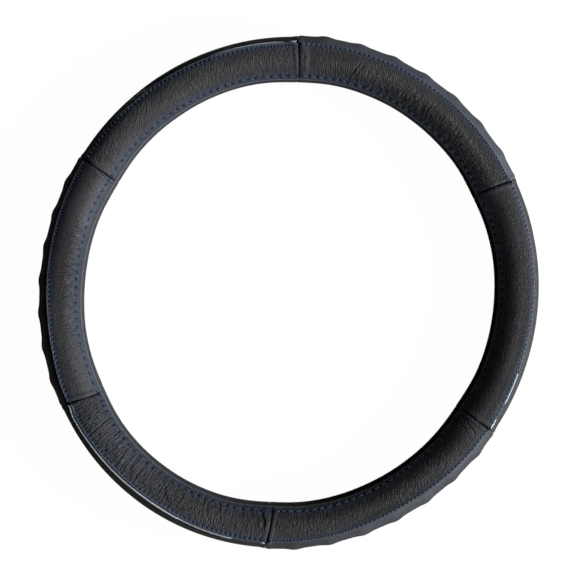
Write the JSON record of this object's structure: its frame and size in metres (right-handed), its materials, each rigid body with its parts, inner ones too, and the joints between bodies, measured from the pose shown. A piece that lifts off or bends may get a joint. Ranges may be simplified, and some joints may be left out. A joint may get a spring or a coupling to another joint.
{
  "type": "steering wheel cover",
  "caption": "Slip-on ring cover of C-shaped section: rubber liner, sewn leather sectors, padded finger grips in turn with perforated, piped ones.",
  "frame": {"origin": "centre of the ring at the surface that the cover lies on", "axes": "+Z along the ring's axis, out of its front face; +Y towards the top of the wheel, +X to the right as seen from the front"},
  "size_m": [0.3844, 0.3944, 0.0341],
  "materials": {
    "rubber": "matt black moulded rubber",
    "leather": "black grained leather, satin, with blue topstitching",
    "grip_leather": "smooth black leather on bonded foam",
    "perforated_leather": "black leather with rows of fine perforations",
    "piping": "pale silver-blue glossy piping",
    "thread": "blue twisted sewing thread"
  },
  "bodies": {
    "root": {"rubber_ring": "rubber", "front_panel_1": "leather", "front_panel_2": "leather", "front_panel_3": "leather", "front_panel_4": "leather", "front_panel_5": "leather", "front_panel_6": "leather", "back_panel_1": "leather", "back_panel_2": "leather", "back_panel_3": "leather", "back_panel_4": "leather", "back_panel_5": "leather", "back_panel_6": "leather", "grip_panel_1": "grip_leather", "grip_panel_2": "grip_leather", "grip_panel_3": "grip_leather", "perforated_panel_1": "perforated_leather", "perforated_panel_2": "perforated_leather", "perforated_panel_3": "perforated_leather", "piping_1": "piping", "piping_2": "piping", "piping_3": "piping"}
  },
  "joints": []
}
